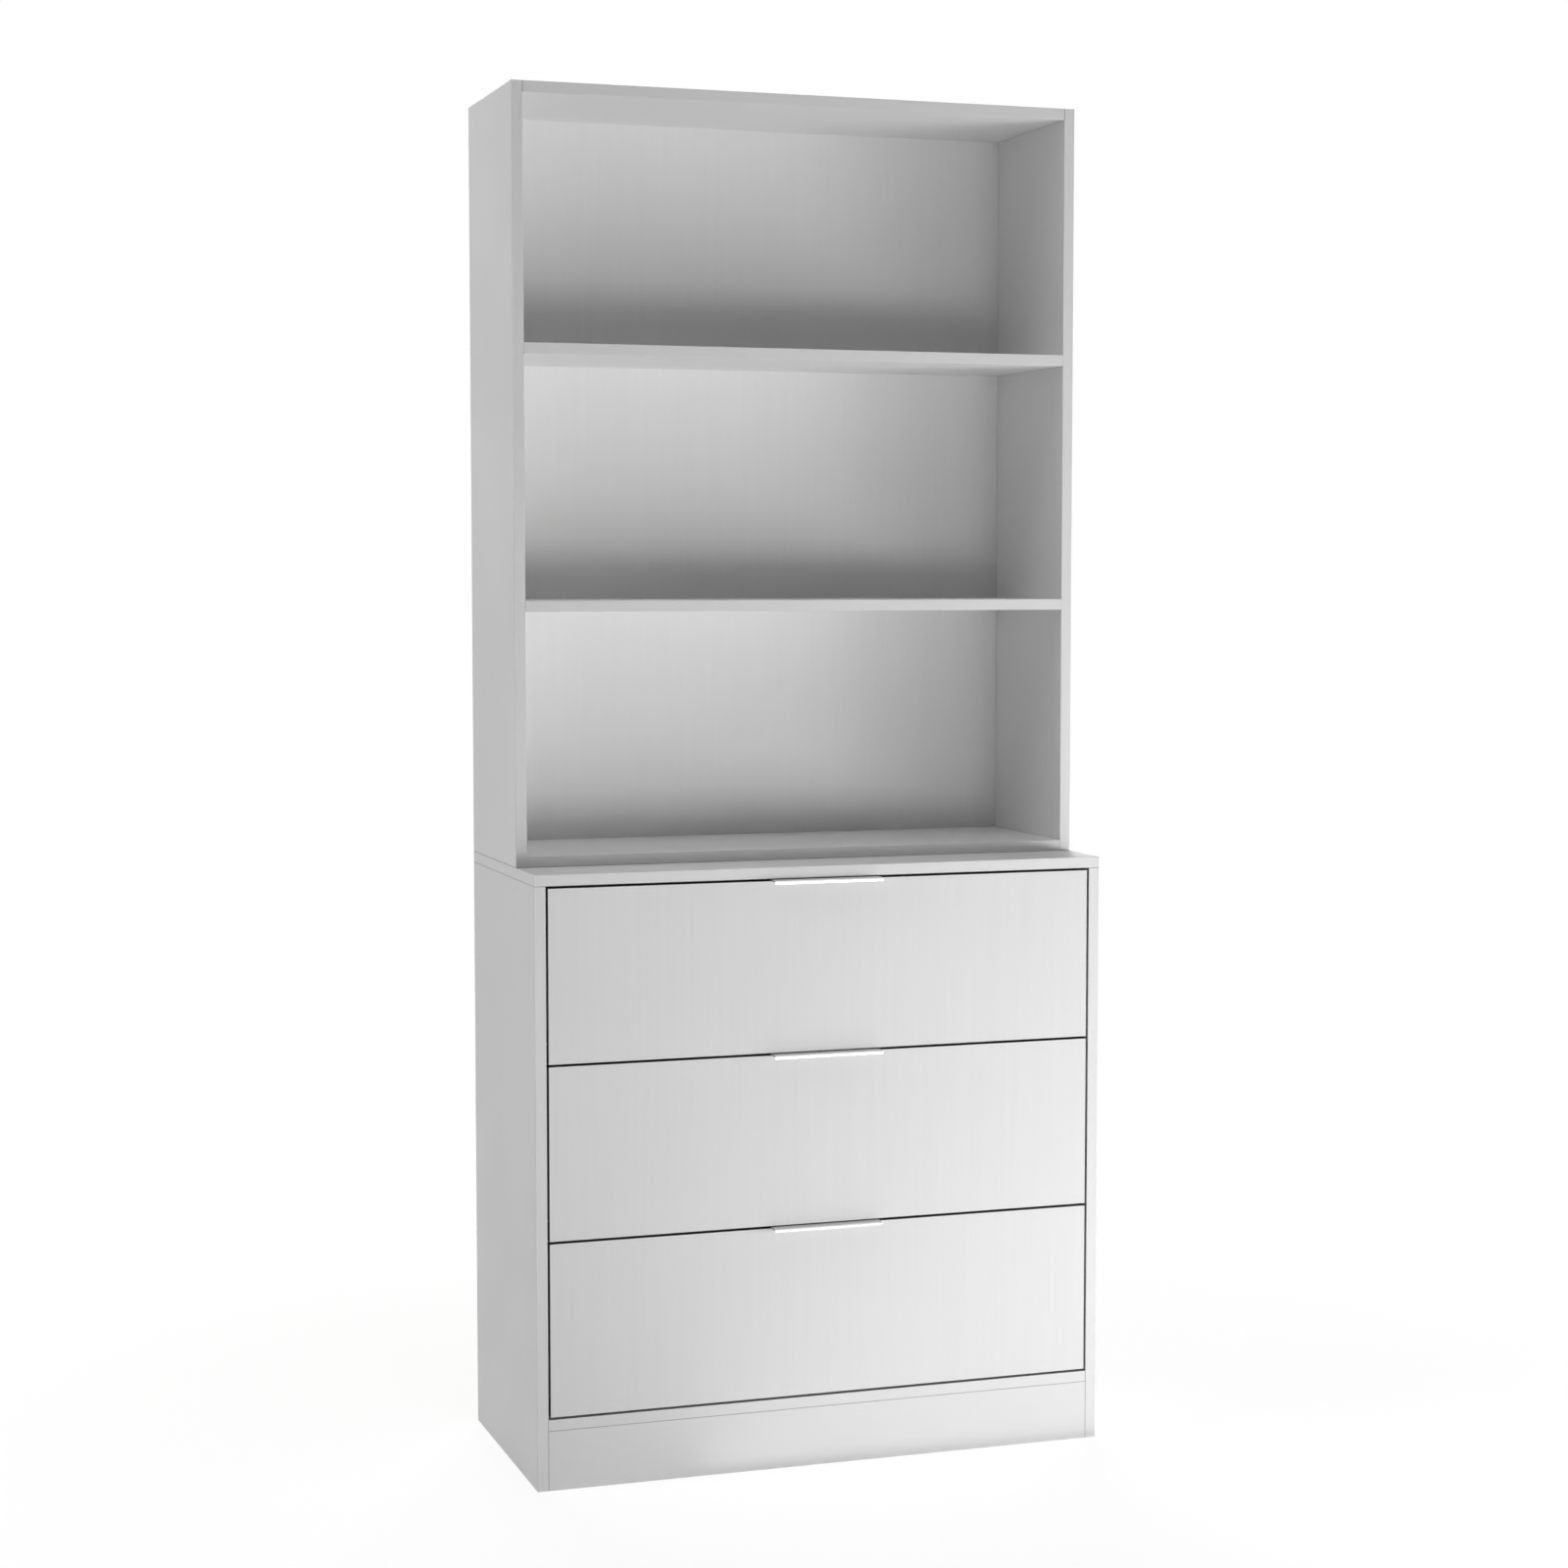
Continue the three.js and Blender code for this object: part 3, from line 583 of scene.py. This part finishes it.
for node_name, node in nodes.items():
    slot = node_slots[node_name]
    if node_name in DRAWER_FRONTS:
        soften_board(node, FRONT_EDGE_RADIUS)
    elif slot in BOARD_SLOTS:
        soften_board(node, EDGE_RADIUS[slot])
    else:
        shade_with(node, sheet_shading)
        level_faces(node)


# Small fasteners


def join_rings(bm, first, second):
    """Adds the faces between two rings with as many corners each."""
    for k, corner in enumerate(first):
        after = (k + 1) % len(first)
        bm.faces.new((corner, first[after], second[after], second[k]))


def add_turned(bm, place, outline, sides):
    """Adds a turned form that is closed below, from a list of (radius, height), and returns its top ring."""
    turns = [2 * math.pi * k / sides for k in range(sides)]
    rings = []
    for radius, height in outline:
        corners = [Vector((radius * math.cos(turn), radius * math.sin(turn), height)) for turn in turns]
        rings.append([bm.verts.new(place @ corner) for corner in corners])
    for lower, upper in zip(rings, rings[1:]):
        join_rings(bm, lower, upper)
    bm.faces.new(list(reversed(rings[0])))
    return rings[-1]


def cross_corners(span, arm):
    """Corners of a cross with a span and an arm width, in one turn round its middle."""
    half, thin = span / 2, arm / 2
    corners = []
    for turn in range(4):
        for x, y in ((half, -thin), (half, thin), (thin, thin)):
            for _ in range(turn):
                x, y = -y, x
            corners.append((x, y))
    return corners


def add_head(bm, place, outline, cross, sides=24):
    """Adds one closed head, turned from an outline up to its flat top, with a cross recess in it."""
    top_ring = add_turned(bm, place, outline, sides)
    span, arm, depth = cross
    top = outline[-1][1]
    corners = cross_corners(span, arm)
    rim = [bm.verts.new(place @ Vector((x, y, top))) for x, y in corners]
    bottom = [(RECESS_TAPER * x, RECESS_TAPER * y, top - depth) for x, y in corners]
    floor = [bm.verts.new(place @ Vector(corner)) for corner in bottom]
    edges = []
    for ring in (top_ring, rim):
        for k, vertex in enumerate(ring):
            after = ring[(k + 1) % len(ring)]
            edges.append(bm.edges.get((vertex, after)) or bm.edges.new((vertex, after)))
    bmesh.ops.triangle_fill(bm, use_beauty=True, edges=edges)
    join_rings(bm, rim, floor)
    bm.faces.new(floor)


def add_nail(bm, spot):
    """Adds a flat round nail head whose rim is rounded off."""
    bm.faces.new(add_turned(bm, facing((0, 1, 0), spot), NAIL_OUTLINE, NAIL_SIDES))


def facing(direction, spot, spin=0.0):
    """Place whose own +Z points along a direction."""
    turn = Vector(direction).to_track_quat("Z", "Y").to_matrix().to_4x4()
    return Matrix.Translation(spot) @ turn @ Matrix.Rotation(spin, 4, "Z")


def add_piece(name, bm, slot, body):
    """Turns built faces into one piece that rides on a body."""
    bmesh.ops.recalc_face_normals(bm, faces=bm.faces)
    mesh = bpy.data.meshes.new(name)
    bm.to_mesh(mesh)
    bm.free()
    mesh.shade_smooth()
    mesh.set_sharp_from_angle(angle=HEAD_ROUND_ANGLE)
    mesh.materials.append(SLOT_MATERIALS[slot])
    piece = bpy.data.objects.new(name, mesh)
    scene.collection.objects.link(piece)
    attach(piece, body)


# Heads: outlines are (radius, height above the seat), crosses are (span, arm width, depth)
CAM_OUTLINE = [(7.35 * MM, -12 * MM), (7.35 * MM, -0.5 * MM), (7.0 * MM, -0.15 * MM)]
CAM_CROSS = (8 * MM, 1.9 * MM, 2.6 * MM)
PAN_OUTLINE = [(3.4 * MM, 0.0), (3.4 * MM, 0.9 * MM), (2.9 * MM, 1.5 * MM), (2.0 * MM, 1.85 * MM)]
PAN_CROSS = (3.2 * MM, 0.8 * MM, 1.1 * MM)
FLUSH_OUTLINE = [(2.2 * MM, -1.3 * MM), (2.2 * MM, -0.15 * MM), (2.05 * MM, -0.05 * MM)]
FLUSH_CROSS = (2.8 * MM, 0.7 * MM, 0.8 * MM)
FLUSH_SIDES = 16
NAIL_OUTLINE = [(1.9 * MM, 0.0), (1.9 * MM, 0.35 * MM), (1.4 * MM, 0.6 * MM)]
NAIL_SIDES = 14
RECESS_TAPER = 0.7
HEAD_ROUND_ANGLE = math.radians(30)

# Where they sit
CAM_FROM_END = 24 * MM
CAM_FROM_EDGE = 45 * MM
CAM_END_X = SIDE_INNER_X - CAM_FROM_END
CAM_REAR_Y = BACK_FRONT_Y - CAM_FROM_EDGE
BOX_CAM_Y = CHEST_FRONT_Y + 39 * MM
BOX_CAM_HEIGHTS = (43.3 * MM, 158 * MM)
RAIL_SCREW_Y = CHEST_FRONT_Y + 45 * MM
RAIL_SCREW_COUNT = 3
CABINET_SCREW_X = SIDE_INNER_X - 1.3 * MM
CABINET_SCREW_STEP = 122 * MM
DRAWER_SCREW_X = SIDE_INNER_X - 11.4 * MM
DRAWER_SCREW_STEP = 117.85 * MM
PULL_SCREW_X = 56.5 * MM
PULL_SCREW_Y = CHEST_FRONT_Y + 16.6 * MM
PULL_SCREW_HEIGHT = 217.6 * MM
BRACKET_SEAM = 0.1 * MM
BRACKET_STEEL = 2 * MM
BRACKET_SCREW_REACH = 14.75 * MM
BRACKET_WALL_SPIN = 0.5
BRACKET_FLOOR_SPIN = 1.1
NAIL_STEP = 0.11
NAILS_BESIDE_MIDDLE = 3


def spin_of(index):
    """Cross recesses end up at any angle: a fixed, uneven turn for each."""
    return 0.35 + 1.9 * index


def cross_board_cams(bm, node_name, front_y, up):
    """Adds the four cam locks in the upper or lower face of a board that lies between the sides."""
    low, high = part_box(node_name)
    level = high.z if up else low.z
    spots = [(x, y, level) for x in (-CAM_END_X, CAM_END_X) for y in (front_y + CAM_FROM_EDGE, CAM_REAR_Y)]
    for index, spot in enumerate(spots):
        add_head(bm, facing((0, 0, 1 if up else -1), spot, spin_of(index)), CAM_OUTLINE, CAM_CROSS)


def add_carcass_cams():
    """The cam locks of the hutch's and the chest's boards."""
    hutch_cams = bmesh.new()
    for board_name in ("hutch_top", "hutch_shelf_upper", "hutch_shelf_lower"):
        cross_board_cams(hutch_cams, board_name, HUTCH_FRONT_Y, up=True)
    cross_board_cams(hutch_cams, "hutch_bottom", HUTCH_FRONT_Y, up=False)
    add_piece("hutch_cam_locks", hutch_cams, "zinc_steel", "cabinet")
    chest_cams = bmesh.new()
    cross_board_cams(chest_cams, "chest_bottom", CHEST_FRONT_Y, up=False)
    for hand in SIDES.values():
        for index, y in enumerate((CHEST_FRONT_Y + CAM_FROM_EDGE, CAM_REAR_Y)):
            spot = (hand * SIDE_INNER_X, y, CHEST_TOP_Z - BOARD - CAM_FROM_END)
            add_head(chest_cams, facing((-hand, 0, 0), spot, spin_of(index)), CAM_OUTLINE, CAM_CROSS)
    add_piece("chest_cam_locks", chest_cams, "zinc_steel", "cabinet")


def add_box_cams(number, base_z):
    """The cam locks that hold a drawer's sides on its front."""
    cams = bmesh.new()
    for hand in SIDES.values():
        for index, height in enumerate(BOX_CAM_HEIGHTS):
            spot = (hand * BOX_INNER_X, BOX_CAM_Y, base_z + height)
            add_head(cams, facing((-hand, 0, 0), spot, spin_of(index + number)), CAM_OUTLINE[1:], CAM_CROSS)
    add_piece(f"drawer_{number}_cam_locks", cams, "zinc_steel", f"drawer_{number}")


def add_runner_screws(number, base_z):
    """The pan-head screws of a drawer's own two rails, which look outwards."""
    screws = bmesh.new()
    for hand in SIDES.values():
        for index in range(RAIL_SCREW_COUNT):
            y = RAIL_SCREW_Y + index * DRAWER_SCREW_STEP
            spot = (hand * DRAWER_SCREW_X, y, base_z + RAIL_LEVEL)
            place = facing((hand, 0, 0), spot, spin_of(index + RAIL_SCREW_COUNT))
            add_head(screws, place, PAN_OUTLINE, PAN_CROSS)
    add_piece(f"drawer_{number}_rail_screws", screws, "zinc_steel", f"drawer_{number}")


def add_pull_screws(number, base_z):
    """The two screws that hold a pull, on the inner face of its drawer's front."""
    screws = bmesh.new()
    for hand in SIDES.values():
        spot = (hand * PULL_SCREW_X, PULL_SCREW_Y, base_z + PULL_SCREW_HEIGHT)
        add_head(screws, facing((0, 1, 0), spot, spin_of(number)), PAN_OUTLINE, PAN_CROSS)
    add_piece(f"drawer_{number}_handle_screws", screws, "zinc_steel", f"drawer_{number}")


def add_cabinet_rail_screws():
    """The flush screws of the rails on the chest's sides, for all three drawers."""
    screws = bmesh.new()
    for base_z in DRAWER_BASES.values():
        for hand in SIDES.values():
            for index in range(RAIL_SCREW_COUNT):
                y = RAIL_SCREW_Y + index * CABINET_SCREW_STEP
                spot = (hand * CABINET_SCREW_X, y, base_z + RAIL_LEVEL)
                place = facing((-hand, 0, 0), spot, spin_of(index))
                add_head(screws, place, FLUSH_OUTLINE, FLUSH_CROSS, FLUSH_SIDES)
    add_piece("cabinet_rail_screws", screws, "zinc_steel", "cabinet")


def add_bracket_screws():
    """Two screws in each bracket: into the hutch's side and into the chest's top."""
    screws = bmesh.new()
    for side, hand in SIDES.items():
        low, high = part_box(f"hutch_bracket_{side}")
        middle_y = (low.y + high.y) / 2
        wall_x = SIDE_INNER_X - BRACKET_SEAM - BRACKET_STEEL
        wall_spot = (hand * wall_x, middle_y, low.z - BRACKET_SEAM + BRACKET_SCREW_REACH)
        floor_spot = (hand * (SIDE_INNER_X - BRACKET_SCREW_REACH), middle_y, low.z + BRACKET_STEEL)
        add_head(screws, facing((-hand, 0, 0), wall_spot, BRACKET_WALL_SPIN), PAN_OUTLINE, PAN_CROSS)
        add_head(screws, facing((0, 0, 1), floor_spot, BRACKET_FLOOR_SPIN), PAN_OUTLINE, PAN_CROSS)
    add_piece("hutch_bracket_screws", screws, "zinc_steel", "cabinet")


def add_back_nails():
    """A row of nails through the back panels into each board behind them."""
    nails = bmesh.new()
    for board_name in ("chest_bottom", "hutch_bottom", "hutch_shelf_lower", "hutch_shelf_upper"):
        low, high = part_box(board_name)
        for step in range(-NAILS_BESIDE_MIDDLE, NAILS_BESIDE_MIDDLE + 1):
            add_nail(nails, (NAIL_STEP * step, BACK_REAR_Y, (low.z + high.z) / 2))
    add_piece("back_panel_nails", nails, "zinc_steel", "cabinet")


add_carcass_cams()
for number, base_z in DRAWER_BASES.items():
    add_box_cams(number, base_z)
    add_runner_screws(number, base_z)
    add_pull_screws(number, base_z)
add_cabinet_rail_screws()
add_bracket_screws()
add_back_nails()


# Camera: the photograph's viewpoint, from the fit of its edges


PHOTO_WIDTH_PX = 1600
FOCAL_LENGTH_PX = 3053.7
SENSOR_WIDTH_MM = 36.0
CAMERA_PLACE = (-1.3200, -3.9293, 1.2111)
CAMERA_DIP = math.radians(4.111)
CAMERA_TURN = math.radians(18.544)


def add_camera():
    """A camera in front of the object and to its left, which looks slightly down."""
    data = bpy.data.cameras.new("photo_camera")
    data.sensor_width = SENSOR_WIDTH_MM
    data.lens = SENSOR_WIDTH_MM * FOCAL_LENGTH_PX / PHOTO_WIDTH_PX
    camera = bpy.data.objects.new("photo_camera", data)
    camera.location = CAMERA_PLACE
    camera.rotation_euler = (math.radians(90) - CAMERA_DIP, 0.0, -CAMERA_TURN)
    scene.collection.objects.link(camera)
    scene.camera = camera


# Light: soft boxes round the object


AMBIENT_STRENGTH = 0.01
FLOOR_RADIUS = 30.0
FLOOR_SIDES = 96
FLOOR_SHADE_NEAR = 0.28
FLOOR_GLOW_NEAR = 0.84
SHADOW_NEAR = 0.7
SHADOW_FAR = 1.5
OBJECT_MIDDLE = (0, 0, 0.95)
LAMPS = {
    # name: (place, what it points at, width, height, watts)
    "key_right": ((2.3, -1.6, 0.35), OBJECT_MIDDLE, 1.1, 0.5, 15.3),
    "key_near_right": ((1.8, -1.1, 0.4), OBJECT_MIDDLE, 0.8, 0.5, 5.9),
    "key_front_right": ((2.3, -3.1, 0.35), OBJECT_MIDDLE, 1.1, 0.5, 11.3),
    "key_front": ((1.0, -3.1, 0.35), OBJECT_MIDDLE, 0.8, 0.5, 6.0),
    "front_fill": ((0.3, -3.5, 0.4), OBJECT_MIDDLE, 1.2, 0.8, 13.8),
    "left_fill": ((-4.7, 0.0, 2.6), OBJECT_MIDDLE, 2.0, 2.0, 64.0),
    "left_low_fill": ((-4.5, 1.0, 1.0), OBJECT_MIDDLE, 2.0, 2.0, 9.5),
    "top_fill": ((0.0, -1.0, 5.0), OBJECT_MIDDLE, 3.0, 3.0, 35.0),
    "floor_glow_left": ((-0.6, -3.0, 0.02), (-0.6, -3.0, 1.0), 1.0, 1.0, 4.8),
    "floor_glow_middle": ((0.4, -0.9, 0.02), (0.4, -0.9, 1.0), 1.0, 1.0, 2.4),
    "floor_glow_front": ((0.38, -0.29, 0.006), (0.38, -0.29, 1.0), 1.1, 0.22, 0.32),
    "rear_fill": ((0.8, 4.5, 2.3), OBJECT_MIDDLE, 3.0, 3.0, 130.0),
}


def add_lamps():
    """Lamps round the object, at a plain level. The camera doesn't see them."""
    for name, (place, target, width, height, watts) in LAMPS.items():
        data = bpy.data.lights.new(name, "AREA")
        data.shape = "RECTANGLE"
        data.size = width
        data.size_y = height
        data.energy = watts
        lamp = bpy.data.objects.new(name, data)
        lamp.location = place
        lamp.rotation_euler = (Vector(target) - Vector(place)).to_track_quat("-Z", "Y").to_euler()
        lamp.visible_camera = False
        scene.collection.objects.link(lamp)


def seen_directly(tree):
    """1 for rays that come from the camera or a mirror-like or clear surface, and 0 for diffuse light."""
    path = tree.nodes.new("ShaderNodeLightPath").outputs
    sharp = math_node(tree, "MAXIMUM", path["Is Glossy Ray"], path["Is Transmission Ray"])
    return math_node(tree, "MAXIMUM", path["Is Camera Ray"], sharp)


def add_world():
    """White where it is seen, and a dim even fill for the object."""
    world = bpy.data.worlds.new("studio")
    world.use_nodes = True
    tree = world.node_tree
    tree.nodes.clear()
    strength = ramp(tree, seen_directly(tree), 0.0, 1.0, AMBIENT_STRENGTH, 1.0)
    background = add_node(tree, "ShaderNodeBackground", {"Color": grey(1.0), "Strength": strength})
    tree.links.new(background.outputs[0], tree.nodes.new("ShaderNodeOutputWorld").inputs[0])
    scene.world = world


def add_floor():
    """A pale floor that shows white, apart from the object's shadow close around it."""
    bm = bmesh.new()
    bmesh.ops.create_circle(bm, cap_ends=True, segments=FLOOR_SIDES, radius=FLOOR_RADIUS)
    mesh = bpy.data.meshes.new("studio_floor")
    bm.to_mesh(mesh)
    bm.free()
    floor = bpy.data.objects.new("studio_floor", mesh)
    scene.collection.objects.link(floor)
    material = bpy.data.materials.new("studio_floor")
    material.use_nodes = True
    tree = material.node_tree
    tree.nodes.clear()
    place = tree.nodes.new("ShaderNodeTexCoord").outputs["Object"]
    speckle = noise(tree, place, 60.0, 3.0, 0.6)
    pale = blend(tree, speckle, grey(0.79), grey(0.81))
    lit = add_node(tree, "ShaderNodeBsdfDiffuse", {"Color": pale}).outputs[0]
    faint = add_node(tree, "ShaderNodeBsdfDiffuse", {"Color": grey(FLOOR_SHADE_NEAR)}).outputs[0]
    glow = add_node(tree, "ShaderNodeEmission", {"Color": grey(1.0), "Strength": FLOOR_GLOW_NEAR}).outputs[0]
    white = add_node(tree, "ShaderNodeEmission", {"Color": grey(1.0), "Strength": 1.0}).outputs[0]
    near = tree.nodes.new("ShaderNodeAddShader")
    tree.links.new(faint, near.inputs[0])
    tree.links.new(glow, near.inputs[1])
    distance = add_node(tree, "ShaderNodeVectorMath", {0: place}, operation="LENGTH").outputs["Value"]
    fade = ramp(tree, distance, SHADOW_NEAR, SHADOW_FAR)
    shown = add_node(tree, "ShaderNodeMixShader", {0: fade, 1: near.outputs[0], 2: white}).outputs[0]
    surface = add_node(tree, "ShaderNodeMixShader", {0: seen_directly(tree), 1: lit, 2: shown}).outputs[0]
    tree.links.new(surface, tree.nodes.new("ShaderNodeOutputMaterial").inputs[0])
    mesh.materials.append(material)


add_camera()
add_lamps()
add_world()
add_floor()
scene.view_settings.view_transform = "Standard"
